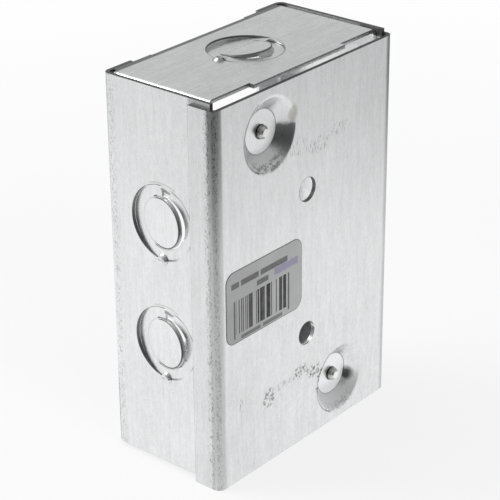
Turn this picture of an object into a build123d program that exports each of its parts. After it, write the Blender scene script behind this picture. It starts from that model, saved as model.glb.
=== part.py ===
from build123d import *
import os

# Driving sizes in mm, +Z along the length of the box, +Y toward its back, open front toward -Y
BODY_W = 65.0
BODY_H = 99.0
BODY_D = 35.0
SHEET = 1.0
BEND_IN = 0.9
BACK_DROP = 1.3

# Clearance between sheets that are put together, and the width of a sheared cut
FIT = 0.1
CUT = 0.12

# Back piece: side flanges, fixing holes and ground dimples
FLANGE_DEPTH = 7.9
FIX_HOLE_R = 3.1
FIX_PITCH = 39.0
DIMPLE_X = 13.9
DIMPLE_Z = 38.1
DIMPLE_RIM_R = 9.1
DIMPLE_FLOOR_R = 5.65
DIMPLE_DEPTH = 3.0
DIMPLE_FLAT_R = 10.2
DIMPLE_RIM_ROUND = 1.4

# Side walls
LIP_W = 9.5

# End plates
END_FLANGE = 12.0
TAB_W = 34.0
TAB_GAP = 1.2
TAB_SETBACK = 1.45
EAR_END_W = 17.0
EAR_STRAIGHT = 4.0
EAR_H = 17.0
DEVICE_PITCH = 83.5
EAR_HOLE_R = 1.6
EAR_COLLAR = 1.2

# Knockouts: outer ring cut on its front half, inner disc cut on its back half
KO_PITCH = 32.0
KO_END_SHIFT = 1.5
KO_RING_R = 9.5
KO_DISC_R = 6.5
KO_SLIT = 0.35
KO_RING_TILT = 6.2
KO_DISC_HINGE = 2.6
KO_DISC_TILT = 3.4
KO_OVERLAP = 0.3
KO_DISH_AT = (2.1, 2.0, 0)
KO_DISH_R = 6.5
KO_DISH_DEPTH = 0.4
KO_SCORE = 0.75
KO_LINE = 0.22
NUB_R = 1.5
NUB_TOP_R = 0.9
NUB_H = 0.6

# Ground screws, plain at the core of the thread
SCREW_R = 1.45
SCREW_TIP = 1.7
SCREW_END_R = 1.0
SCREW_END_H = 0.55
SCREW_HOLE_GAP = 0.3
SCREW_WASHER_R = 4.4
SCREW_WASHER_H = 0.8
SCREW_HEX_AF = 7.0
SCREW_HEX_H = 2.6
SCREW_SLOT_W = 1.1
SCREW_SLOT_D = 1.3

# Sizes that follow
BEND_OUT = BEND_IN + SHEET
BODY_Z0 = BACK_DROP
BODY_Z1 = BODY_Z0 + BODY_H
BODY_ZC = (BODY_Z0 + BODY_Z1) / 2
WALL_X = BODY_W / 2
BACK_Y = BODY_D / 2
FRONT_Y = -BODY_D / 2
BACK_H = BODY_H
BACK_ZC = BACK_H / 2
FLANGE_X = WALL_X + SHEET
INSIDE_X = WALL_X - SHEET - FIT


def rounded_face(points, corners):
    """Flat face through the points, with the corners named by index rounded to a radius."""
    face = make_face(Polyline(*points, close=True))
    for index, radius in corners:
        spot = Vector(*points[index])
        vertex = min(face.vertices(), key=lambda v: (Vector(v.X, v.Y, v.Z) - spot).length)
        face = fillet(vertex, radius)
    return face


def prism(width, depth, height, x, y, z):
    """Box given by its sizes and its lowest corner."""
    return Pos(x + width / 2, y + depth / 2, z + height / 2) * Box(width, depth, height)


def half_space(edge, size, tall):
    """Block that holds everything with x above the edge."""
    return Pos(edge + size / 2, 0, 0) * Box(size, 2 * size, tall)


def knockout(plane):
    """Return what is cut from the sheet and the half-sheared piece that goes in its place.

    In the plane, x runs toward the back of the box, z points out of the sheet. The ring hinges
    at x = 0 and is pressed in at the front. The disc hinges in front of that and stands out at
    the back. A dished crescent lies behind the disc.
    """
    mid = Pos(0, 0, -SHEET / 2)
    tall = 3 * SHEET
    big = 3 * KO_RING_R
    slot_r = KO_DISC_R + KO_SLIT
    cutter = mid * (Cylinder(slot_r, tall) + (Cylinder(KO_RING_R, tall) - half_space(0, big, tall)))
    dish = Pos(*KO_DISH_AT) * Cylinder(KO_DISH_R, 2 * KO_DISH_DEPTH)
    score = Pos(*KO_DISH_AT) * (Cylinder(KO_DISH_R, 2 * KO_SCORE) - Cylinder(KO_DISH_R - KO_LINE, 2 * KO_SCORE))
    cutter += dish + score

    ring = Cylinder(KO_RING_R - CUT, SHEET) - half_space(KO_OVERLAP, big, tall)
    ring -= Cylinder(slot_r, tall) & half_space(-KO_DISC_HINGE, big, tall)
    disc = Cylinder(KO_DISC_R, SHEET) & half_space(-KO_DISC_HINGE - KO_OVERLAP, big, tall)
    pivot = Pos(-KO_DISC_HINGE, 0, 0)
    disc = pivot * (Rot(0, -KO_DISC_TILT, 0) * (pivot.inverse() * disc))
    insert = mid * (Rot(0, -KO_RING_TILT, 0) * (ring + disc))

    nub = Pos(0, 0, NUB_H / 2) * Cone(NUB_R, NUB_TOP_R, NUB_H) + mid * Cylinder(NUB_R, SHEET)
    nub = Pos(0, -KO_RING_R, 0) * nub
    return plane * cutter, plane * (insert + nub)


def with_knockouts(sheet, planes):
    """Cut every knockout out of the sheet and put its half-sheared piece back."""
    for plane in planes:
        cutter, insert = knockout(plane)
        sheet = (sheet - cutter) + insert
    return sheet


def dimple_cup():
    """Pressed conical cup with its flat floor, hole and a ring of flat sheet, z out of the sheet."""
    lean = Vector(DIMPLE_RIM_R - DIMPLE_FLOOR_R, DIMPLE_DEPTH, 0)
    turn = lean.get_angle(Vector(1, 0, 0))
    step = SHEET * math_tan_half(turn)
    hole_r = SCREW_R + SCREW_HOLE_GAP
    deep = DIMPLE_DEPTH + SHEET
    points = [
        (DIMPLE_FLAT_R, 0, 0),
        (DIMPLE_RIM_R, 0, 0),
        (DIMPLE_FLOOR_R, 0, -DIMPLE_DEPTH),
        (hole_r, 0, -DIMPLE_DEPTH),
        (hole_r, 0, -deep),
        (DIMPLE_FLOOR_R + step, 0, -deep),
        (DIMPLE_RIM_R + step, 0, -SHEET),
        (DIMPLE_FLAT_R, 0, -SHEET),
    ]
    return revolve(rounded_face(points, [(1, DIMPLE_RIM_ROUND)]), Axis.Z)


def math_tan_half(angle):
    """Tangent of half an angle in degrees."""
    arm = Vector(1, 0, 0).rotate(Axis.Z, angle / 2)
    return arm.Y / arm.X


def dimple_planes():
    """Planes on the back face at the two dimples, z out of the box."""
    spots = [(DIMPLE_X, BACK_ZC + DIMPLE_Z), (-DIMPLE_X, BACK_ZC - DIMPLE_Z)]
    return [Plane(origin=(x, BACK_Y, z), x_dir=(1, 0, 0), z_dir=(0, 1, 0)) for x, z in spots]


def make_back_plate():
    """Back with its two side flanges, fixing holes and ground dimples."""
    inner = BACK_Y - SHEET
    low = BACK_Y - FLANGE_DEPTH
    points = [
        (FLANGE_X, low, 0),
        (FLANGE_X, BACK_Y, 0),
        (-FLANGE_X, BACK_Y, 0),
        (-FLANGE_X, low, 0),
        (-WALL_X, low, 0),
        (-WALL_X, inner, 0),
        (WALL_X, inner, 0),
        (WALL_X, low, 0),
    ]
    rounds = [(1, BEND_OUT), (2, BEND_OUT), (5, BEND_IN), (6, BEND_IN)]
    plate = extrude(rounded_face(points, rounds), BACK_H)
    for sign in (-1, 1):
        spot = Pos(0, BACK_Y, BACK_ZC + sign * FIX_PITCH / 2) * Rot(90, 0, 0)
        plate -= spot * Cylinder(FIX_HOLE_R, 4 * SHEET)
    cup = dimple_cup()
    for plane in dimple_planes():
        plate -= plane * Cylinder(DIMPLE_FLAT_R, 4 * SHEET)
        plate += plane * cup
    return plate


def make_side_wall():
    """Long wall on the +X side with its front lip and two knockouts."""
    rear = BACK_Y - BEND_OUT - FIT
    points = [
        (WALL_X, rear, BODY_Z0),
        (WALL_X, FRONT_Y, BODY_Z0),
        (WALL_X - LIP_W, FRONT_Y, BODY_Z0),
        (WALL_X - LIP_W, FRONT_Y + SHEET, BODY_Z0),
        (WALL_X - SHEET, FRONT_Y + SHEET, BODY_Z0),
        (WALL_X - SHEET, rear, BODY_Z0),
    ]
    wall = extrude(rounded_face(points, [(1, BEND_OUT), (4, BEND_IN)]), BODY_H)
    heights = [BODY_ZC + sign * KO_PITCH / 2 for sign in (-1, 1)]
    planes = [Plane(origin=(WALL_X, 0, z), x_dir=(0, 1, 0), z_dir=(1, 0, 0)) for z in heights]
    return with_knockouts(wall, planes)


def make_ear(top):
    """Device ear bent down from the middle of an end plate, with its threaded collar."""
    root_y = FRONT_Y + 2 * BEND_OUT
    low = top - EAR_H
    half = TAB_W / 2
    points = [
        (-half, root_y, top),
        (-half, FRONT_Y, top),
        (-half, FRONT_Y, low),
        (-half, FRONT_Y + SHEET, low),
        (-half, FRONT_Y + SHEET, top - SHEET),
        (-half, root_y, top - SHEET),
    ]
    bent = extrude(rounded_face(points, [(1, BEND_OUT), (4, BEND_IN)]), TAB_W, dir=(1, 0, 0))
    end = EAR_END_W / 2
    shoulder = top - EAR_STRAIGHT
    outline = [
        (-half, FRONT_Y - SHEET, top + SHEET),
        (half, FRONT_Y - SHEET, top + SHEET),
        (half, FRONT_Y - SHEET, shoulder),
        (end, FRONT_Y - SHEET, low),
        (-end, FRONT_Y - SHEET, low),
        (-half, FRONT_Y - SHEET, shoulder),
    ]
    keep = extrude(rounded_face(outline, [(3, 2.5), (4, 2.5)]), BODY_D / 2, dir=(0, 1, 0))
    ear = bent & keep
    hole_z = BODY_ZC + DEVICE_PITCH / 2
    spot = Pos(0, FRONT_Y, hole_z) * Rot(90, 0, 0)
    length = SHEET + EAR_COLLAR
    ear += spot * (Pos(0, 0, -length / 2) * Cylinder(EAR_HOLE_R + 0.8, length))
    ear -= spot * (Pos(0, 0, -length / 2) * Cylinder(EAR_HOLE_R, 2 * length))
    return ear


def make_end_plate():
    """Upper end plate with side flanges, back tab, device ear and knockout."""
    top = BODY_Z1
    front = FRONT_Y + SHEET + FIT
    rear_tab = BACK_Y - SHEET - TAB_GAP
    rear_end = rear_tab - TAB_SETBACK
    low = top - END_FLANGE
    points = [
        (-INSIDE_X, front, low),
        (-INSIDE_X, front, top),
        (INSIDE_X, front, top),
        (INSIDE_X, front, low),
        (INSIDE_X - SHEET, front, low),
        (INSIDE_X - SHEET, front, top - SHEET),
        (-INSIDE_X + SHEET, front, top - SHEET),
        (-INSIDE_X + SHEET, front, low),
    ]
    rounds = [(1, BEND_OUT), (2, BEND_OUT), (5, BEND_IN), (6, BEND_IN)]
    plate = extrude(rounded_face(points, rounds), rear_end - front, dir=(0, 1, 0))
    for side in (-WALL_X, WALL_X - SHEET - BEND_OUT):
        plate -= prism(SHEET + BEND_OUT, BEND_IN, 2 * END_FLANGE, side, front, top - 1.5 * END_FLANGE)
    root = FRONT_Y + 1.5 * BEND_OUT
    notch = TAB_W + 2 * FIT
    plate -= prism(notch, root - front, 2 * SHEET, -notch / 2, front, top - 1.5 * SHEET)
    plate += prism(TAB_W, rear_tab - rear_end + SHEET, SHEET, -TAB_W / 2, rear_end - SHEET, top - SHEET)
    plate += make_ear(top)
    plane = Plane(origin=(0, -KO_END_SHIFT, top), x_dir=(0, 1, 0), z_dir=(0, 0, 1))
    return with_knockouts(plate, [plane])


def make_screw(plane):
    """Ground screw whose tip stands out of the dimple floor, head on the inside."""
    seat = -(DIMPLE_DEPTH + SHEET)
    tip = -DIMPLE_DEPTH + SCREW_TIP
    hex_z = seat - SCREW_WASHER_H
    points = [
        (0, 0, tip),
        (SCREW_END_R, 0, tip),
        (SCREW_R, 0, tip - SCREW_END_H),
        (SCREW_R, 0, seat),
        (SCREW_WASHER_R, 0, seat),
        (SCREW_WASHER_R, 0, hex_z),
        (0, 0, hex_z),
    ]
    shank = revolve(make_face(Polyline(*points, close=True)), Axis.Z)
    hexagon = Plane.XY.offset(hex_z - SCREW_HEX_H) * RegularPolygon(SCREW_HEX_AF / 2, 6, major_radius=False)
    head = extrude(hexagon, SCREW_HEX_H)
    slot_z = hex_z - SCREW_HEX_H + SCREW_SLOT_D / 2
    slot = Pos(0, 0, slot_z) * Box(3 * SCREW_HEX_AF, SCREW_SLOT_W, SCREW_SLOT_D)
    return plane * (shank + (head - slot))


back_plate = make_back_plate()
side_wall_right = make_side_wall()
side_wall_left = mirror(side_wall_right, Plane.YZ)
end_plate_top = make_end_plate()
end_plate_bottom = mirror(end_plate_top, Plane.XY.offset(BODY_ZC))
upper, lower = dimple_planes()
nodes = {
    "back_plate": back_plate,
    "side_wall_right": side_wall_right,
    "side_wall_left": side_wall_left,
    "end_plate_top": end_plate_top,
    "end_plate_bottom": end_plate_bottom,
    "ground_screw_upper": make_screw(upper),
    "ground_screw_lower": make_screw(lower),
}

os.makedirs("parts", exist_ok=True)
for name, shape in nodes.items():
    solids = shape.solids()
    print(name, "solids", len(solids), "volume", round(sum(s.volume for s in solids), 1))
    export_step(solids[0] if len(solids) == 1 else shape, "parts/" + name + ".step")
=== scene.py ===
"""Looks of a pressed steel flush back box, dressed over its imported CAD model."""

import logging
import math
from dataclasses import dataclass
from enum import Enum
from functools import reduce
from operator import add
from typing import Any, Dict, List, Optional, Tuple, Union

import bpy
from mathutils import Matrix, Vector


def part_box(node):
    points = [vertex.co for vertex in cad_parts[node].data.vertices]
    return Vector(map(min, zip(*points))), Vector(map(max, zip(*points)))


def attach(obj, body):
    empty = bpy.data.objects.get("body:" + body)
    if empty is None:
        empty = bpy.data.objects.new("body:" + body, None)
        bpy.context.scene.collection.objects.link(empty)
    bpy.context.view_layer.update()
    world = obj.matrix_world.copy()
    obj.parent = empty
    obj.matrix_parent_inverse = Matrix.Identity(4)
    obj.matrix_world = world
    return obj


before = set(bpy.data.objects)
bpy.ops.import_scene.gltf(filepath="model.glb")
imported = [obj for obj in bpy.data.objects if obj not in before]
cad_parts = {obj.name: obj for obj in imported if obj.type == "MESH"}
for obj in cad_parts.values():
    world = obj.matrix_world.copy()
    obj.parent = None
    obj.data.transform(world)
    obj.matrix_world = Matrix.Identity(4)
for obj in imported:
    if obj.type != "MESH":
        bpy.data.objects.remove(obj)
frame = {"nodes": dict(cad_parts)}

log = logging.getLogger("back_box")
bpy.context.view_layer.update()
MM = 0.001
Number = Union[int, float]
Pair = Tuple[float, float]
Triple = Tuple[float, float, float]
Stops = Tuple[Pair, ...]
Settings = Optional[Dict[str, Any]]


@dataclass(frozen=True)
class Plan:
    """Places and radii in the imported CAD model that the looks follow, in millimetres."""

    middle: float = 50.8
    back_middle: float = 49.5
    half_height: float = 49.5
    rim: float = 0.03
    wall_face: float = 32.5
    knockout_rise: float = 16.0
    knockout_ring: float = 9.5
    knockout_disc: float = 6.5
    end_shift: float = 1.5
    dimple_aside: float = 13.9
    dimple_rise: float = 38.1
    dimple_floor: float = 5.65
    fixing_rise: float = 19.5
    fixing_radius: float = 3.1

    @property
    def sheared(self) -> float:
        """Distance from a sheet's middle height past which only its sheared edges lie."""
        return self.half_height - self.rim

    @property
    def knockouts(self) -> Pair:
        """Heights of the lower and the upper wall knockout."""
        return self.middle - self.knockout_rise, self.middle + self.knockout_rise

    @property
    def fixing_holes(self) -> Pair:
        """Heights of the upper and the lower fixing hole."""
        return self.back_middle + self.fixing_rise, self.back_middle - self.fixing_rise

    @property
    def dimples(self) -> Tuple[Pair, Pair]:
        """Ground dimples.

        Returns:
            Places in x and z of the upper and the lower one.
        """
        upper = (self.dimple_aside, self.back_middle + self.dimple_rise)
        lower = (-self.dimple_aside, self.back_middle - self.dimple_rise)
        return upper, lower


PLAN = Plan()


class Graph:
    """Node tree of one material or world, with one method that adds any node."""

    def __init__(self, tree: bpy.types.NodeTree) -> None:
        """Start from an empty tree."""
        self.tree = tree
        tree.nodes.clear()

    def node(self, kind: str, settings: Settings = None, **inputs: Any) -> bpy.types.Node:
        """Add a node, set it up and fill its sockets.

        Args:
            kind: The node's type name in Blender.
            settings: Properties of the node; "stops" fills a ramp.
            inputs: Values or links, by socket name with underscores, or by place as i0, i1.

        Returns:
            The new node.
        """
        made = self.tree.nodes.new(kind)
        for key, value in (settings or {}).items():
            if key == "stops":
                self._stops(made.color_ramp, value)
            else:
                setattr(made, key, value)
        for key, value in inputs.items():
            numbered = key[0] == "i" and key[1:].isdigit()
            self._feed(made.inputs[int(key[1:]) if numbered else key.replace("_", " ")], value)
        return made

    def signal(
        self, kind: str, output: Union[int, str] = 0, settings: Settings = None, **inputs: Any
    ) -> "Signal":
        """Add a node and wrap one of its outputs.

        Args:
            kind: The node's type name in Blender.
            output: Name or place of the output.
            settings: Properties of the node.
            inputs: Values or links of its sockets.

        Returns:
            The wrapped output.
        """
        return Signal(self, self.node(kind, settings, **inputs).outputs[output])

    def rgb(self, red: Any, green: Any, blue: Any) -> "Signal":
        """Colour from three levels."""
        return self.signal("ShaderNodeCombineColor", i0=red, i1=green, i2=blue)

    def grey(self, level: Any, warmth: Number = 0.0) -> "Signal":
        """Colour of one level, turned a little to yellow or, below zero, to blue."""
        return self.rgb(level * (1 + warmth), level, level * (1 - warmth))

    def mix(self, share: Any, first: "Signal", second: "Signal") -> "Signal":
        """Shader that turns from the first to the second as the share goes from 0 to 1."""
        return self.signal("ShaderNodeMixShader", Fac=share, i1=first, i2=second)

    def finish(
        self, colour: "Signal", metallic: float, rough: Any, height: "Signal", bump: float, depth: float
    ) -> None:
        """Close a material with one Principled shader and its bump.

        Args:
            colour: Base colour.
            metallic: Share of metal.
            rough: Roughness.
            height: Relief of the surface.
            bump: Strength of the bump.
            depth: Depth of the relief, mm.
        """
        normal = self.signal(
            "ShaderNodeBump", Strength=bump, Distance=depth * MM, Height=height,
        )
        shader = self.signal(
            "ShaderNodeBsdfPrincipled",
            Base_Color=colour, Metallic=metallic, Roughness=rough, Normal=normal,
        )
        self.node("ShaderNodeOutputMaterial", Surface=shader)

    @staticmethod
    def _stops(ramp: bpy.types.ColorRamp, stops: Stops) -> None:
        """Fill a ramp with grey stops.

        Args:
            ramp: The ramp of a node.
            stops: Each a place from 0 to 1 and a level.
        """
        while len(ramp.elements) < len(stops):
            ramp.elements.new(0.5)
        for element, (place, level) in zip(ramp.elements, stops):
            element.position = place
            element.color = (level, level, level, 1.0)

    def _feed(self, socket: bpy.types.NodeSocket, value: Any) -> None:
        """Link or set one input socket.

        Args:
            socket: The socket.
            value: A signal or output to link, or a plain value.
        """
        if isinstance(value, Signal):
            value = value.socket
        if isinstance(value, bpy.types.NodeSocket):
            self.tree.links.new(value, socket)
        elif isinstance(value, tuple) and len(value) == 3 and socket.type == "RGBA":
            socket.default_value = (*value, 1.0)
        else:
            socket.default_value = value


class Signal:
    """One value over a surface, which Python's operators turn into Math nodes."""

    def __init__(self, graph: Graph, socket: bpy.types.NodeSocket) -> None:
        """Wrap an output socket of a graph."""
        self.graph = graph
        self.socket = socket

    def _math(self, operation: str, first: Any, second: Any = None) -> "Signal":
        """Add one Math node on one or two values."""
        inputs = {"i0": first} if second is None else {"i0": first, "i1": second}
        return self.graph.signal("ShaderNodeMath", 0, {"operation": operation}, **inputs)

    def __add__(self, other: Any) -> "Signal":
        """Sum."""
        return self._math("ADD", self, other)

    def __radd__(self, other: Any) -> "Signal":
        """Sum with the number first."""
        return self._math("ADD", other, self)

    def __sub__(self, other: Any) -> "Signal":
        """Difference."""
        return self._math("SUBTRACT", self, other)

    def __rsub__(self, other: Any) -> "Signal":
        """Difference with the number first."""
        return self._math("SUBTRACT", other, self)

    def __mul__(self, other: Any) -> "Signal":
        """Product."""
        return self._math("MULTIPLY", self, other)

    def __rmul__(self, other: Any) -> "Signal":
        """Product with the number first."""
        return self._math("MULTIPLY", other, self)

    def __truediv__(self, other: Any) -> "Signal":
        """Quotient."""
        return self._math("DIVIDE", self, other)

    def floor(self) -> "Signal":
        """Whole part."""
        return self._math("FLOOR", self)

    def size(self) -> "Signal":
        """Absolute value."""
        return self._math("ABSOLUTE", self)

    def root(self) -> "Signal":
        """Square root."""
        return self._math("SQRT", self)

    def reach(self, across: "Signal") -> "Signal":
        """Length of an offset whose other part is across."""
        return (self * self + across * across).root()

    def angle(self, across: "Signal") -> "Signal":
        """Angle in radians of a direction whose other part is across."""
        return self._math("ARCTAN2", self, across)

    def least(self, other: Any) -> "Signal":
        """Smaller of two values."""
        return self._math("MINIMUM", self, other)

    def most(self, other: Any) -> "Signal":
        """Larger of two values."""
        return self._math("MAXIMUM", self, other)

    def above(self, level: Any) -> "Signal":
        """One where the value is over a level, else zero."""
        return self._math("GREATER_THAN", self, level)

    def ease(self, zero: Number, one: Number) -> "Signal":
        """Smooth step.

        Args:
            zero: Value that gives 0.
            one: Value that gives 1, which may be the lower of the two.

        Returns:
            The eased value.
        """
        low, high = min(zero, one), max(zero, one)
        start, end = (0.0, 1.0) if zero < one else (1.0, 0.0)
        return self.graph.signal(
            "ShaderNodeMapRange", 0, {"interpolation_type": "SMOOTHSTEP"},
            i0=self, i1=low, i2=high, i3=start, i4=end,
        )

    def line(self, middle: Number, half: Number) -> "Signal":
        """Soft line about one value, with the distance at which it has faded out."""
        return (self - middle).size().ease(half, half * 0.35)

    def between(self, low: Number, high: Number) -> "Signal":
        """One between two values, else zero."""
        return self.above(low) * (1.0 - self.above(high))

    def ramp(self, stops: Stops) -> "Signal":
        """Level read off a line through stops, each a place from 0 to 1 and a level."""
        return self.graph.signal("ShaderNodeValToRGB", "Color", {"stops": stops}, Fac=self)

    def axes(self) -> List["Signal"]:
        """The three parts of a vector."""
        parts = self.graph.node("ShaderNodeSeparateXYZ", i0=self)
        return [Signal(self.graph, out) for out in parts.outputs]


def blank(name: str) -> Tuple[bpy.types.Material, Graph]:
    """Make a material with an empty graph.

    Args:
        name: Its name.

    Returns:
        The material and its graph.
    """
    material = bpy.data.materials.new(name)
    material.use_nodes = True
    return material, Graph(material.node_tree)


@dataclass(frozen=True)
class Oval:
    """Soft oval on the back: centre, half its width and height in mm, fade and weight."""

    x: float
    z: float
    wide: float
    high: float
    soft: float
    weight: float = 1.0


@dataclass(frozen=True)
class Place:
    """Object coordinates of a surface in millimetres, with the patterns made from them."""

    graph: Graph
    vector: Signal
    x: Signal
    y: Signal
    z: Signal

    @classmethod
    def of(cls, graph: Graph) -> "Place":
        """Read Object coordinates into a graph.

        Args:
            graph: The graph of a material.

        Returns:
            The place of its surface, mm.
        """
        raw = graph.signal("ShaderNodeTexCoord", "Object")
        scale = {"operation": "SCALE"}
        scaled = graph.signal("ShaderNodeVectorMath", 0, scale, i0=raw, Scale=1 / MM)
        return cls(graph, scaled, *scaled.axes())

    def noise(
        self, scale: float, detail: float = 2.0, rough: float = 0.5, factors: Optional[Triple] = None
    ) -> Signal:
        """Noise from 0 to 1.

        Args:
            scale: Features per millimetre.
            detail: Octaves.
            rough: Weight of the finer octaves.
            factors: Scale of each axis, for streaks.

        Returns:
            The noise.
        """
        vector = self.vector
        if factors:
            multiply = {"operation": "MULTIPLY"}
            vector = self.graph.signal("ShaderNodeVectorMath", 0, multiply, i0=vector, i1=factors)
        return self.graph.signal(
            "ShaderNodeTexNoise", Vector=vector, Scale=scale, Detail=detail, Roughness=rough,
        )

    def crystals(self, scale: float) -> Signal:
        """Random level of each zinc crystal."""
        node = self.graph.node("ShaderNodeTexVoronoi", Vector=self.vector, Scale=scale)
        return self.graph.signal("ShaderNodeSeparateColor", i0=node.outputs["Color"])

    def crazing(self, level: float) -> Signal:
        """Fine cracks of a bent coat, from the noise level at which they start."""
        return self.noise(3.0, 3.0, 0.7, (1.0, 1.0, 0.5)).ease(level, 0.64)

    def ovals(self, *spots: Oval) -> Signal:
        """Sum of soft ovals on the back."""
        return reduce(add, (self._oval(spot) for spot in spots))

    def _oval(self, spot: Oval) -> Signal:
        """Mask one oval.

        Args:
            spot: The oval.

        Returns:
            The mask, up to its weight.
        """
        dx = (self.x - spot.x) / spot.wide
        dz = (self.z - spot.z) / spot.high
        return (dx * dx + dz * dz).ease(1.0, 1.0 - spot.soft) * spot.weight


@dataclass(frozen=True)
class Coat:
    """What the marks of a sheet, and the light and shade painted on it, do to its zinc."""

    dark: Signal
    # gain is painted light; dark holds the marks together with painted shade
    gain: Union[Signal, float] = 1.0
    relief: Union[Signal, float] = 0.0
    warm: Union[Signal, float] = 0.0
    dull: Union[Signal, float] = 0.0


def specks(noise: Signal) -> Signal:
    """Small dark specks where a noise peaks."""
    return noise.ease(0.64, 0.76) * 0.22


@dataclass(frozen=True)
class KnockoutMarks:
    """Sheared faces of one knockout and painted shade along its pressed creases, in its own plane with
    u toward the back.

    The fields after the hinge say how dark each mark is.
    """

    ring: float = PLAN.knockout_ring
    disc: float = PLAN.knockout_disc
    hinge: float = -2.6
    rim: float = 0.95
    hole: float = 0.85
    score: float = 0.6
    crease: float = 0.13
    tail: float = 0.75
    arc: float = 0.2
    dent: float = 0.6

    def draw(self, u: Signal, v: Signal) -> Signal:
        """Mask the dark lines of the knockout.

        Args:
            u: Distance from its centre toward the back, mm.
            v: Distance from its centre away from its nub, mm.

        Returns:
            The darkening mask.
        """
        reach = u.reach(v)
        away = v.above(0.0)
        rim = reach.line(self.disc - 0.28, 0.22) * u.ease(self.hinge - 0.6, self.hinge + 1.5)
        hole = reach.line(self.ring + 0.02, 0.14) * u.ease(0.6, -0.6)
        score = reach.line(self.ring - 0.1, 0.22) * u.ease(2.0, 4.0) * v.ease(-6.0, -3.0)
        # painted shade along the pressed crease, tail, arc and dent
        crease = reach.line(self.disc - 0.1, 0.3) * (1.0 - u.above(self.hinge))
        tail = reach.line(self.ring - 0.1, 0.36) * u.ease(6.2, 2.0) * u.above(0.9) * (1.0 - away)
        arc = reach.line(self.ring + 0.6, 0.3) * u.between(-3.5, 4.2) * away
        du = (u - 1.2) / 1.6
        dv = (v - self.ring + 0.85 + u * 0.25) / 0.75
        dent = (du * du + dv * dv).ease(1.0, 0.3)
        sheared = rim * self.rim + hole * self.hole + score * self.score
        # the pressed marks are painted shade
        pressed = crease * self.crease + tail * self.tail + arc * self.arc + dent * self.dent
        return (sheared + pressed).least(1.0)


@dataclass(frozen=True)
class DimpleMarks:
    """Marks, painted shade and painted light of one pressed ground dimple on the back.

    The wedge is its darkest part, painted shade between two turns in radians from the right, clockwise.
    The dull part of its cone lies between two heights in mm, and dull_share is its strength; that part
    is also lightened as painted light.
    """

    spot: Pair
    wedge: Pair
    wedge_reach: float
    strength: float
    dull: Pair
    dull_share: float = 1.0
    floor: float = PLAN.dimple_floor
    rim: float = 9.3
    screw: float = 1.75

    def draw(self, place: Place, blot: Signal) -> Tuple[Signal, Signal]:
        """Mask the painted shade and the painted highlight on the floor of the dimple.

        Args:
            place: Where the surface is.
            blot: Coarse noise for ragged borders.

        Returns:
            A darkening mask of painted shade along its edges and wedge, with a ragged fringe, and a
            brightening mask of painted light on its floor.
        """
        right = self.spot[0] - place.x
        up = place.z - self.spot[1]
        reach = right.reach(up)
        turn = (0.0 - up).angle(right)
        # painted shade along the floor's edge, the screw hole and the rim
        outline = reach.line(self.floor - 0.12, 0.24) * 0.55 + reach.line(self.screw, 0.16) * 0.7
        rings = reach.line(self.rim + 0.12, 0.26) * turn.size().above(2.0) * 0.5
        # painted shade in the wedge
        start, end = self.wedge
        ragged = turn + (blot - 0.5) * 0.25
        wedge = ragged.ease(start - 0.1, start + 0.05) * ragged.ease(end + 0.5, end)
        wedge = wedge * reach.ease(self.wedge_reach + 1.2, self.wedge_reach)
        wedge = wedge * reach.between(self.floor, self.rim)
        low = turn.ease(0.7, 1.1) * turn.ease(2.5, 2.1)
        fringe = reach.line(self.rim - 0.8, 1.6) * low * blot.ease(0.45, 0.56) * 0.7
        # painted highlight on the flat floor
        painted_light_mask = (1.0 - reach.above(self.floor - 0.1)) * reach.above(2.0)
        return outline + rings + (wedge + fringe) * self.strength, painted_light_mask

    def dulled_and_lit(self, place: Place) -> Signal:
        """Mask the dull lower part of the cone, which the back also lightens as painted light."""
        cone = place.ovals(Oval(*self.spot, self.rim + 0.1, self.rim + 0.1, 0.2))
        return cone * place.z.ease(*self.dull) * self.dull_share


@dataclass(frozen=True)
class EndMarks:
    """Sheared rims, painted shade on the folded front edge, on the nub and in the inner corner, and
    knockout of an end plate.

    The fields after fold_from say how dark each mark is, and how much painted light brightens the inner
    flanges and rear edges.
    """

    tab_half: float = 17.0
    tab_end: float = 15.26
    shoulder: float = 13.85
    outer_face: float = 49.0
    fold_from: float = -14.5
    torn: float = 0.7
    notch: float = 0.6
    fold_shade: float = 0.8
    nub: float = 0.45
    corner: float = 0.95
    painted_light: float = 0.3

    def draw(self, place: Place, speck: Signal) -> Coat:
        """Collect the marks of the plate.

        Args:
            place: Where the surface is.
            speck: Fine noise for specks.

        Returns:
            What the marks do to the zinc.
        """
        side = place.x.size()
        rise = (place.z - PLAN.middle).size()
        face = rise.above(self.outer_face)
        rear = place.y.above(self.tab_end)
        rear = rear + place.y.line(self.shoulder, 0.06) * side.above(self.tab_half - 0.1)
        torn = rear * rise.ease(self.outer_face, self.outer_face + 0.15)
        notch = side.line(self.tab_half, 0.06) * place.y.above(self.shoulder - 0.05)
        # painted shade along the folded front edge
        fold_shade = place.y.ease(self.fold_from, self.fold_from - 0.5) * rise.above(48.6)
        back = place.y + PLAN.end_shift
        knockout = KnockoutMarks().draw(back, 0.0 - place.x) * face
        # painted shade that dims the nub's head
        nub = (place.x - PLAN.knockout_ring).reach(back).ease(2.0, 1.5) * face
        far = (0.0 - place.x).above(29.0) * (1.0 - place.z.above(16.0))
        # painted shade in the far inner corner
        corner = (place.y + 8.0).reach(place.z - 8.0).ease(9.0, 6.0) * far
        marks = specks(speck) + torn * self.torn + notch * self.notch + fold_shade * self.fold_shade
        marks = marks + knockout + nub * self.nub + corner * self.corner
        # painted light on the inner flanges and the rear edges
        inner = side.between(29.0, 31.95) * (1.0 - face)
        return Coat(marks.least(1.0), 1.0 + (inner + rear) * self.painted_light)


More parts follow.
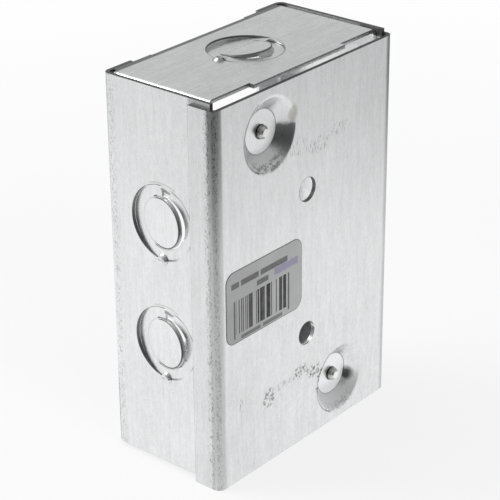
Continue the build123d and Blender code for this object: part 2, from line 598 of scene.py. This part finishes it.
@dataclass(frozen=True)
class WallMarks:
    """Sheared rims, crazed front bend, painted shade on the inner face and just above the back's
    flange, and knockouts of a side wall.

    The fields after lip_from say how dark each mark is, and how much painted light brightens the inner
    face.
    """

    outer_face: float = 31.6
    rear: float = 15.45
    bend: float = -15.3
    lip_from: float = 98.2
    craze: float = 0.42
    shade: float = 0.4
    lip_shade: float = 0.8
    corner: float = 0.85
    painted_light: float = 0.3

    def draw(self, place: Place, speck: Signal) -> Coat:
        """Collect the marks of the wall.

        Args:
            place: Where the surface is.
            speck: Fine noise for specks.

        Returns:
            What the marks do to the zinc.
        """
        outer = place.x.size().above(self.outer_face)
        inner = 1.0 - outer
        rim = (place.z - PLAN.middle).size().above(PLAN.sheared) + place.y.above(self.rear)
        craze = (place.y - self.bend).size().ease(1.9, 0.3) * place.crazing(0.5)
        # painted shade on the wall just above the back's flange
        shade = place.z.ease(97.5, 99.9) * place.y.ease(8.3, 9.6)
        # painted shade along the top of the inner face and in its far lower corner
        far = (0.0 - place.x).above(31.0)
        corner = (place.y + 9.5).reach(place.z - 10.5).ease(10.0, 6.0) * far
        lip_shade = inner * (place.z.above(self.lip_from) * self.lip_shade + corner * self.corner)
        marks = specks(speck) + rim + craze * self.craze + shade * self.shade + lip_shade
        for height in PLAN.knockouts:
            marks = marks + KnockoutMarks().draw(place.y, place.z - height) * outer
        # painted light brightens the inner face
        return Coat(marks.least(1.0), 1.0 + inner * self.painted_light)


@dataclass(frozen=True)
class BackMarks:
    """Crazed bends, scuffs, rubbed zinc, dimples and sheared rims of the back, with painted shade at
    its side folds and beside the lower dimple.

    The fields after the inner bend say how dark each mark is, and how much painted light brightens the
    dimple floors and dull cones.
    """

    outer_face: float = 17.3
    flange_face: float = 32.4
    flange_end: float = 9.63
    scuffs: Tuple[Oval, ...] = (
        Oval(3.6, 81.0, 4.2, 3.4, 0.7, 0.8),
        Oval(-4.0, 79.4, 5.5, 2.8, 0.7),
        Oval(-12.0, 81.0, 5.0, 2.2, 0.8, 0.8),
    )
    nick: Oval = Oval(25.4, 19.8, 0.8, 3.6, 0.6)
    rubbed: Tuple[Oval, ...] = (
        Oval(-3.0, 18.2, 3.4, 2.6, 0.8),
        Oval(2.4, 20.0, 3.8, 2.4, 0.7),
        Oval(9.0, 19.4, 5.0, 1.4, 0.8, 0.6),
        Oval(14.8, 18.2, 2.6, 3.0, 0.5),
        Oval(-5.9, 13.6, 2.5, 4.2, 0.6, 1.4),
    )
    shadow: Oval = Oval(-19.9, 9.2, 1.7, 2.4, 0.9, 0.65)
    smudge: Oval = Oval(5.2, 90.3, 1.4, 2.7, 0.9)
    dimples: Tuple[DimpleMarks, ...] = (
        DimpleMarks(
            PLAN.dimples[0], wedge=(0.0, 0.62), wedge_reach=9.2, strength=0.8,
            dull=(85.0, 81.5), dull_share=0.8,
        ),
        DimpleMarks(
            PLAN.dimples[1], wedge=(0.25, 0.75), wedge_reach=6.3, strength=0.45, dull=(10.5, 8.0),
        ),
    )
    bend_outer: float = 15.0
    bend_inner: float = 16.9
    fold_shade_low: float = 0.26
    fold_shade_rise: float = 0.42
    holes: Pair = (0.75, 0.3)
    scuffed: float = 0.55
    nicked: float = 0.7
    worn: float = 0.75
    painted_light: float = 0.3

    def draw(self, place: Place, speck: Signal) -> Coat:
        """Collect the marks of the back.

        Args:
            place: Where the surface is.
            speck: Fine noise for specks and relief.

        Returns:
            What the marks do to the zinc.
        """
        blot = place.noise(0.85, 4.0, 0.75)
        rubbed = place.ovals(*self.rubbed)
        smudge = place.ovals(self.smudge)
        marks = specks(speck) + self._edges(place) + self._wear_and_shadow(place, rubbed, blot)
        marks = marks + smudge * (0.2 + blot * 0.3)
        dull = reduce(add, (dimple.dulled_and_lit(place) for dimple in self.dimples))
        # the dull lower cones and the dimple floors are lightened as painted light
        painted_light_mask = dull
        for dimple in self.dimples:
            dark, floor = dimple.draw(place, blot)
            marks = marks + dark
            painted_light_mask = painted_light_mask + floor
        relief = rubbed * blot * 4.0 + (speck - 0.5) * 0.2
        return Coat(marks.least(1.0), 1.0 + painted_light_mask * self.painted_light, relief, smudge, dull)

    def _edges(self, place: Place) -> Signal:
        """Mask the sheared rims and holes, the crazed bends, and the painted shade at the side folds
        that darkens upward.

        Args:
            place: Where the surface is.

        Returns:
            The darkening mask.
        """
        side = place.x.size()
        rim = (place.z - PLAN.back_middle).size().above(PLAN.sheared)
        rim = rim + side.above(self.flange_face) * (1.0 - place.y.above(self.flange_end))
        bend = place.y.line(self.bend_outer, 1.3) * side.above(33.0) * 0.5
        bend = bend + place.y.line(self.bend_inner, 0.7) * side.above(31.0) * 0.35
        # painted shade on the side folds, darker toward the top
        fold_shade = side.ease(30.6, 31.6) * place.y.ease(14.6, 15.6)
        fold_shade = fold_shade * (self.fold_shade_low + place.z.ease(62.0, 98.0) * self.fold_shade_rise)
        marks = rim + bend * place.crazing(0.48) + fold_shade
        for height, dark in zip(PLAN.fixing_holes, self.holes):
            hole = place.x.reach(place.z - height).line(PLAN.fixing_radius, 0.16)
            marks = marks + hole * dark
        return marks

    def _wear_and_shadow(self, place: Place, rubbed: Signal, blot: Signal) -> Signal:
        """Mask scuffs and a nick in upright ticks, rubbed zinc in blots, and a soft painted shadow.

        Args:
            place: Where the surface is.
            rubbed: Where the zinc is rubbed.
            blot: Coarse noise for ragged borders.

        Returns:
            The darkening mask.
        """
        ticks = place.noise(2.4, 2.0, 0.6, (1.0, 1.0, 0.2)).ease(0.52, 0.66)
        scuffed = place.ovals(*self.scuffs) * self.scuffed + place.ovals(self.nick) * self.nicked
        worn = scuffed * ticks + rubbed * blot.ease(0.47, 0.6) * self.worn
        # painted shadow beside the lower dimple
        shadow = place.ovals(self.shadow) * place.y.above(14.4)
        return worn * place.y.above(self.outer_face) + shadow


class Sheet(Enum):
    """Which folded sheet a finish is for."""

    BACK = "back"
    WALL = "wall"
    END = "end"


MARKS = {Sheet.BACK: BackMarks(), Sheet.WALL: WallMarks(), Sheet.END: EndMarks()}


@dataclass(frozen=True)
class ZincFinish:
    """Rolled zinc coat: faint crystals, streaks, grain and the marks of its sheet, with the light and
    shade painted on it.
    """

    name: str
    sheet: Sheet
    tone: float = 0.84
    rough: float = 0.30
    crystal_contrast: float = 0.045
    streak_contrast: float = 0.24
    grain_contrast: float = 0.26
    cloud_contrast: float = 0.10
    crystals_per_mm: float = 0.6
    mark_contrast: float = 0.86
    brightest: float = 0.97
    bump: float = 0.25
    depth: float = 0.06

    def build(self) -> bpy.types.Material:
        """Make the material.

        Returns:
            The material.
        """
        material, graph = blank(self.name)
        place = Place.of(graph)
        crystals = place.crystals(self.crystals_per_mm)
        grain = place.noise(1.3, 4.0, 0.7, (1.0, 1.0, 0.6))
        along = (0.1, 1.0, 1.0) if self.sheet is Sheet.END else (1.0, 1.0, 0.1)
        streaks = place.noise(0.9, 3.0, 0.65, along)
        cloud = place.noise(0.06, 3.0)
        coat = MARKS[self.sheet].draw(place, place.noise(1.0, 3.0, 0.75))
        level = self.tone + (crystals - 0.5) * self.crystal_contrast
        level = level + (streaks - 0.5) * self.streak_contrast
        level = level + (grain - 0.5) * self.grain_contrast + (cloud - 0.5) * self.cloud_contrast
        # painted light through the gain, marks and painted shade through the dark mask
        level = level * coat.gain * (1.0 - coat.dark * self.mark_contrast)
        level = level.least(self.brightest)
        rough = self.rough + (crystals - 0.5) * 0.08 + (grain - 0.5) * 0.10
        rough = rough + coat.dark * 0.2 + coat.dull * 0.3
        height = grain * 0.6 + streaks * 0.6 + crystals * 0.10 + coat.relief
        red = level * (1.0 + coat.warm * 0.02)
        blue = level * (1.006 - coat.warm * 0.07)
        colour = graph.rgb(red, level * 1.002, blue)
        graph.finish(colour, 1.0, rough, height, self.bump, self.depth)
        return material


@dataclass(frozen=True)
class ScrewFinish:
    """Bright zinc plating on a small turned screw, with painted shade down in its dimple and a painted
    highlight at its tip.
    """

    name: str
    tone: float = 0.66
    rough: float = 0.22
    sunk_shade_level: float = 0.55
    tip_at: float = 16.2
    bump: float = 0.2
    depth: float = 0.04

    def build(self) -> bpy.types.Material:
        """Make the material.

        Returns:
            The material.
        """
        material, graph = blank(self.name)
        place = Place.of(graph)
        fine = place.noise(3.0, 3.0)
        # painted shade where the screw sits down in the dimple
        sunk_shade = place.y.ease(15.6, 14.3) * place.y.above(13.0) * self.sunk_shade_level
        # painted highlight on the tip's end face
        tip = place.y.line(self.tip_at, 0.12) * 0.3
        level = (self.tone + (fine - 0.5) * 0.16 + tip) * (1.0 - sunk_shade)
        rough = self.rough + fine * 0.12
        graph.finish(graph.grey(level, 0.01), 1.0, rough, fine, self.bump, self.depth)
        return material


@dataclass(frozen=True)
class Block:
    """Plain rectangle of ink: its sides in mm from the label's centre, and how dark it is."""

    left: float
    right: float
    low: float
    high: float
    dark: float = 1.0

    def draw(self, u: Signal, v: Signal) -> Signal:
        """Mask the rectangle."""
        return u.between(self.left, self.right) * v.between(self.low, self.high) * self.dark


@dataclass(frozen=True)
class LabelFinish:
    """Silver-grey label with upright bars and plain fields of ink."""

    name: str
    centre: Pair
    half: Pair
    corner: float
    paper: float = 0.49
    ink: float = 0.02
    bar_pitch: float = 0.3
    tint: float = 0.3
    violet: Triple = (1.0, 1.1, 0.35)
    bars: Block = Block(-10.6, 8.2, -7.3, 1.7)
    blocks: Tuple[Block, ...] = (
        Block(-11.4, -10.9, -8.3, 1.7, 0.75),
        Block(8.7, 9.3, -8.3, 1.7, 0.75),
        Block(-12.2, -9.4, 5.0, 6.5, 0.7),
        Block(-8.7, -2.2, 5.0, 6.5, 0.7),
        Block(-1.5, 8.6, 5.0, 6.5, 0.7),
        Block(-2.9, 1.4, 2.7, 4.1, 0.7),
        Block(-8.8, -1.6, -9.0, -8.0, 0.6),
        Block(-0.8, 6.6, -9.0, -8.0, 0.6),
    )
    metallic: float = 0.3
    rough: float = 0.40
    bump: float = 0.15
    depth: float = 0.04

    def build(self) -> bpy.types.Material:
        """Make the material.

        Returns:
            The material.
        """
        material, graph = blank(self.name)
        place = Place.of(graph)
        u = self.centre[0] - place.x
        v = place.z - self.centre[1]
        printed = self._bars(graph, u, v) + reduce(add, (block.draw(u, v) for block in self.blocks))
        worn = 0.84 + place.noise(0.7, 2.0) * 0.3
        ink = (printed * worn + self._border(u, v) * 0.6).least(1.0)
        sheen = place.noise(0.10, 2.0)
        grain = place.noise(3.0, 3.0)
        paper = self.paper + (sheen - 0.5) * 0.16 + (grain - 0.5) * 0.05
        paper = paper - u.ease(4.0, -13.0) * 0.06
        level = paper * (1.0 - ink) + ink * self.ink
        tint = (v - 3.3 - place.noise(0.9, 1.0) * 1.2).size().ease(1.3, 0.7)
        tint = tint * u.between(3.6, 12.6) * self.tint
        red, green, blue = (level * (1.0 - tint * share) for share in self.violet)
        colour = graph.rgb(red, green, blue)
        rough = self.rough + grain * 0.08
        graph.finish(colour, self.metallic, rough, grain, self.bump, self.depth)
        return material

    def _bars(self, graph: Graph, u: Signal, v: Signal) -> Signal:
        """Draw upright bars of random width.

        Args:
            graph: The label's graph.
            u: Distance to the right of the label's centre, mm.
            v: Distance above it, mm.

        Returns:
            The ink.
        """
        pick = self._random(graph, (u / self.bar_pitch).floor() + 11.0)
        ink = self._random(graph, (u / (self.bar_pitch * 3)).floor() + 5.0)
        return pick.above(0.42) * (0.86 + ink * 0.14) * self.bars.draw(u, v)

    @staticmethod
    def _random(graph: Graph, step: Signal) -> Signal:
        """Random level of each whole step."""
        line = {"noise_dimensions": "1D"}
        return graph.signal("ShaderNodeTexWhiteNoise", "Value", line, W=step)

    def _border(self, u: Signal, v: Signal) -> Signal:
        """Draw a thin dark line along the rounded rim of the label.

        Args:
            u: Distance to the right of the label's centre, mm.
            v: Distance above it, mm.

        Returns:
            The ink.
        """
        du = (u.size() - (self.half[0] - self.corner)).most(0.0)
        dv = (v.size() - (self.half[1] - self.corner)).most(0.0)
        return du.reach(dv).ease(self.corner - 0.28, self.corner - 0.1)


def clear_selection() -> None:
    """Deselect every object, so an operator acts only on what is made next."""
    if bpy.context.object and bpy.context.object.mode != "OBJECT":
        bpy.ops.object.mode_set(mode="OBJECT")
    bpy.ops.object.select_all(action="DESELECT")


def dress(piece: bpy.types.Object, material: bpy.types.Material) -> None:
    """Give an object one material."""
    piece.data.materials.clear()
    piece.data.materials.append(material)


def settle(piece: bpy.types.Object, place: Matrix) -> None:
    """Move a piece's vertices, so the object stays at the origin, and hang it on the box.

    Args:
        piece: The piece, modelled at the origin.
        place: Where its vertices go.
    """
    piece.data.transform(place)
    piece.data.update()
    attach(piece, "root")
    log.info("made %s", piece.name)


def facing_back(x: float, y: float, z: float) -> Matrix:
    """Turn +Z toward the back and move to a place in metres."""
    return Matrix.Translation((x, y, z)) @ Matrix.Rotation(math.radians(-90), 4, "X")


@dataclass
class FoldedBox:
    """The folded sheets and ground screws that the CAD model carries."""

    back: ZincFinish = ZincFinish("back_zinc", Sheet.BACK)
    wall: ZincFinish = ZincFinish("wall_zinc", Sheet.WALL, tone=0.90)
    end: ZincFinish = ZincFinish("end_zinc", Sheet.END, tone=0.75, grain_contrast=0.22)
    screw: ScrewFinish = ScrewFinish("screw_zinc")

    def build(self, nodes: Dict[str, bpy.types.Object]) -> Dict[str, bpy.types.Material]:
        """Dress every CAD node.

        Args:
            nodes: CAD node name to object.

        Returns:
            The materials, by the start of the names of the nodes that wear them.
        """
        finishes = {
            "back_plate": self.back,
            "side_wall": self.wall,
            "end_plate": self.end,
            "ground_screw": self.screw,
        }
        made = {start: finish.build() for start, finish in finishes.items()}
        for name, piece in nodes.items():
            for start, material in made.items():
                if name.startswith(start):
                    dress(piece, material)
                    log.info("dressed %s", name)
        return made


@dataclass
class Nubs:
    """Rounded heads of the pressed ties that hold the knockout rings."""

    radius: float = 1.55
    height: float = 0.82
    steps: int = 6
    sides: int = 32

    def build(self, wall: bpy.types.Material) -> None:
        """Model one nub on each wall knockout.

        Args:
            wall: Material of the side walls.
        """
        for sign, side in ((1, "right"), (-1, "left")):
            turn = Matrix.Rotation(math.radians(90 * sign), 4, "Y")
            for level, middle in zip(("lower", "upper"), PLAN.knockouts):
                height = (middle - PLAN.knockout_ring) * MM
                spot = Matrix.Translation((sign * PLAN.wall_face * MM, 0, height))
                self._dome(f"nub_{side}_{level}", spot @ turn, wall)

    def _dome(self, name: str, place: Matrix, material: bpy.types.Material) -> None:
        """Model one low dome from a disc that is raised and narrowed in steps.

        Args:
            name: Name of the piece.
            place: Where it sits.
            material: Its material.
        """
        clear_selection()
        bpy.ops.mesh.primitive_circle_add(
            vertices=self.sides, radius=self.radius * MM, fill_type="NGON", location=(0, 0, 0)
        )
        piece = bpy.context.object
        piece.name = name
        bpy.ops.object.mode_set(mode="EDIT")
        bpy.ops.mesh.select_all(action="SELECT")
        quarter = [math.pi / 2 * step / self.steps for step in range(self.steps)]
        for before, after in zip(quarter, quarter[1:]):
            rise = (math.sin(after) - math.sin(before)) * self.height * MM
            narrow = math.cos(after) / math.cos(before)
            bpy.ops.mesh.extrude_region_move(TRANSFORM_OT_translate={"value": (0, 0, rise)})
            bpy.ops.transform.resize(value=(narrow, narrow, 1.0))
        bpy.ops.object.mode_set(mode="OBJECT")
        bpy.ops.object.shade_smooth()
        dress(piece, material)
        settle(piece, place)


@dataclass
class ScrewThread:
    """Rolled thread that winds up the tip of one ground screw."""

    crest: float = 1.72
    depth: float = 0.3
    pitch: float = 0.72
    turns: int = 5
    start: float = 12.0
    steps: int = 28

    def build(self, name: str, spot: Pair, material: bpy.types.Material) -> None:
        """Model the thread.

        Args:
            name: Name of the piece.
            spot: Place of the screw in x and z, mm.
            material: The screw's material.
        """
        clear_selection()
        bpy.ops.mesh.primitive_circle_add(
            vertices=3, radius=self.depth * MM, fill_type="NOTHING", location=(0, 0, 0)
        )
        piece = bpy.context.object
        piece.name = name
        bpy.ops.object.mode_set(mode="EDIT")
        bpy.ops.mesh.select_all(action="SELECT")
        for axis in ("X", "Y"):
            bpy.ops.transform.rotate(
                value=math.radians(90), orient_axis=axis, center_override=(0, 0, 0)
            )
        bpy.ops.transform.translate(value=((self.crest - self.depth) * MM, 0, 0))
        bpy.ops.object.mode_set(mode="OBJECT")
        screw = piece.modifiers.new("thread", "SCREW")
        screw.steps = screw.render_steps = self.steps
        screw.angle = 2 * math.pi
        screw.iterations = self.turns
        screw.screw_offset = self.pitch * MM
        bpy.ops.object.modifier_apply(modifier="thread")
        bpy.ops.object.shade_smooth()
        dress(piece, material)
        settle(piece, facing_back(spot[0] * MM, self.start * MM, spot[1] * MM))


@dataclass
class PrintedLabel:
    """Thin rounded label on the back."""

    width: float = 28.2
    height: float = 19.0
    corner: float = 2.7
    thick: float = 0.08
    corner_steps: int = 8
    centre: Pair = (16.3, 48.0)

    def build(self) -> None:
        """Model the label and lay it on the back."""
        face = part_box("back_plate")[1].y
        clear_selection()
        bpy.ops.mesh.primitive_plane_add(size=MM, location=(0, 0, 0))
        piece = bpy.context.object
        piece.name = "label"
        bpy.ops.object.mode_set(mode="EDIT")
        bpy.ops.mesh.select_all(action="SELECT")
        bpy.ops.transform.resize(value=(self.width, self.height, 1.0))
        bpy.ops.mesh.bevel(
            offset=self.corner * MM, segments=self.corner_steps, affect="VERTICES"
        )
        bpy.ops.mesh.select_all(action="SELECT")
        bpy.ops.mesh.extrude_region_move(TRANSFORM_OT_translate={"value": (0, 0, self.thick * MM)})
        bpy.ops.mesh.select_all(action="SELECT")
        bpy.ops.mesh.normals_make_consistent(inside=False)
        bpy.ops.object.mode_set(mode="OBJECT")
        half = (self.width / 2, self.height / 2)
        dress(piece, LabelFinish("label_paper", self.centre, half, self.corner).build())
        settle(piece, facing_back(self.centre[0] * MM, face, self.centre[1] * MM))


@dataclass(frozen=True)
class Lamp:
    """Soft square light: its place and side in m, its power in W and whether metal mirrors it."""

    name: str
    place: Triple
    size: float
    power: float
    mirrored: bool


@dataclass
class Studio:
    """Pale floor, soft light, world and the photograph's camera."""

    lens: float = 136.8
    camera_at: Triple = (0.32613, 0.27428, 0.25482)
    azimuth: float = 130.131
    pitch: float = 25.941
    roll: float = 0.5
    sensor: float = 36.0
    clip: Pair = (0.01, 20.0)
    aim: Triple = (0.0, 0.0, 0.05)
    lamps: Tuple[Lamp, ...] = (
        Lamp("key", (0.35, -0.62, 0.75), 0.55, 5.0, True),
        Lamp("fill", (0.20, 0.80, 0.55), 0.5, 3.0, False),
    )
    toward: Pair = (0.77, 0.64)
    cool: float = -0.004
    floor_half: float = 3.0
    floor_tone: Triple = (0.82, 0.82, 0.82)
    shadow: float = 0.2
    shadow_fade: Pair = (420.0, 120.0)
    front_reach: float = 450.0
    front: Stops = (
        (0.0, 1.0), (0.109, 0.98), (0.14, 0.88), (0.187, 0.85), (0.283, 0.98), (0.38, 0.75),
        (0.44, 0.30), (0.527, 0.09), (0.62, 0.08), (0.80, 0.35), (1.0, 0.50),
    )
    side_span: float = 480.0
    sides: Stops = (
        (0.0, 0.68), (0.075, 0.78), (0.264, 0.94), (0.43, 0.90), (0.63, 0.905), (0.76, 0.96),
        (0.88, 0.93), (0.946, 0.89), (1.0, 0.86),
    )

    def build(self) -> None:
        """Make the floor, world, lights and camera."""
        self._floor()
        self._world()
        for lamp in self.lamps:
            self._light(lamp)
        self._camera()

    def _light(self, lamp: Lamp) -> None:
        """Add one light aimed at the box.

        Args:
            lamp: What it is like.
        """
        data = bpy.data.lights.new(lamp.name, "AREA")
        data.shape = "SQUARE"
        data.size = lamp.size
        data.energy = lamp.power
        made = bpy.data.objects.new(lamp.name, data)
        bpy.context.scene.collection.objects.link(made)
        made.location = lamp.place
        ray = Vector(self.aim) - Vector(lamp.place)
        made.rotation_euler = ray.to_track_quat("-Z", "Y").to_euler()
        made.visible_glossy = lamp.mirrored
        log.info("lit %s", lamp.name)

    def _bearings(self, x: Signal, y: Signal) -> Tuple[Signal, Signal]:
        """How far a place is toward the camera, and how far across its view."""
        return x * self.toward[0] + y * self.toward[1], x * self.toward[1] - y * self.toward[0]

    def _floor(self) -> None:
        """Lay the floor under the box."""
        clear_selection()
        bpy.ops.mesh.primitive_plane_add(size=2 * self.floor_half, location=(0, 0, 0))
        floor = bpy.context.object
        floor.name = "floor"
        dress(floor, self._floor_looks())

    def _floor_looks(self) -> bpy.types.Material:
        """Make a material that is white with a soft shadow to the camera, and glows with painted shade
        for the metal to reflect.

        Returns:
            The material.
        """
        material, graph = blank("pale_floor")
        ray = graph.node("ShaderNodeLightPath")
        place = Place.of(graph)
        near, aside = self._bearings(place.x, place.y)
        # painted reflection: glowing levels toward the camera and across the view, darker behind the
        # box
        front = (near / self.front_reach).ramp(self.front)
        sides = (aside / self.side_span + 0.5).ramp(self.sides)
        beyond = 0.62 + near.ease(-150.0, -60.0) * 0.38
        # painted shadow of the box in front of its opening
        opening = place.x.size().ease(34.0, 28.0) * (place.y + 34.0).size().ease(19.0, 15.0)
        shade = graph.grey(front * sides * beyond * (1.0 - opening * 0.85), self.cool)
        white = graph.signal("ShaderNodeEmission", Color=(1.0, 1.0, 1.0), Strength=1.0)
        mirror = graph.signal("ShaderNodeEmission", Color=shade, Strength=1.0)
        matt = graph.signal("ShaderNodeBsdfDiffuse", Color=self.floor_tone)
        share = place.x.reach(place.y).ease(*self.shadow_fade) * self.shadow
        seen = graph.mix(share, white, matt)
        other = graph.mix(ray.outputs["Is Glossy Ray"], matt, mirror)
        both = graph.mix(ray.outputs["Is Camera Ray"], other, seen)
        graph.node("ShaderNodeOutputMaterial", Surface=both)
        return material

    def _world(self) -> None:
        """Add a plain room, white to the camera and dark behind it."""
        world = bpy.data.worlds.new("room")
        bpy.context.scene.world = world
        world.use_nodes = True
        graph = Graph(world.node_tree)
        ray = graph.node("ShaderNodeLightPath")
        x, y, z = graph.signal("ShaderNodeTexCoord", "Generated").axes()
        near, aside = self._bearings(x, y)
        level = 0.46 + near.ease(-0.3, -0.85) * 0.20 + aside.ease(0.0, 0.7) * 0.25
        level = level * (1.0 - near.ease(0.3, 0.75) * (0.5 + z.ease(0.5, 0.2) * 0.38))
        shade = graph.grey(level, self.cool)
        room = graph.signal("ShaderNodeBackground", Color=shade, Strength=1.0)
        white = graph.signal("ShaderNodeBackground", Color=(1.0, 1.0, 1.0), Strength=1.0)
        both = graph.mix(ray.outputs["Is Camera Ray"], room, white)
        graph.node("ShaderNodeOutputWorld", Surface=both)

    def _camera(self) -> None:
        """Place the camera at the photograph's viewing angle."""
        data = bpy.data.cameras.new("camera")
        data.sensor_width = self.sensor
        data.lens = self.lens
        data.clip_start, data.clip_end = self.clip
        camera = bpy.data.objects.new("camera", data)
        bpy.context.scene.collection.objects.link(camera)
        azimuth, pitch = math.radians(self.azimuth), math.radians(self.pitch)
        flat = math.cos(pitch)
        back = Vector((math.sin(azimuth) * flat, -math.cos(azimuth) * flat, math.sin(pitch)))
        turn = (-back).to_track_quat("-Z", "Y").to_matrix().to_4x4()
        roll = Matrix.Rotation(math.radians(-self.roll), 4, "Z")
        camera.matrix_world = Matrix.Translation(self.camera_at) @ turn @ roll
        bpy.context.scene.camera = camera


def main() -> None:
    """Build the looks in order."""
    logging.basicConfig(level=logging.INFO, format="%(name)s: %(message)s")
    bpy.context.scene.view_settings.view_transform = "Standard"
    made = FoldedBox().build(frame["nodes"])
    Nubs().build(made["side_wall"])
    thread = ScrewThread()
    for name, spot in zip(("thread_upper", "thread_lower"), PLAN.dimples):
        thread.build(name, spot, made["ground_screw"])
    PrintedLabel().build()
    Studio().build()
    log.info("boxes written")


if __name__ == "__main__":
    main()
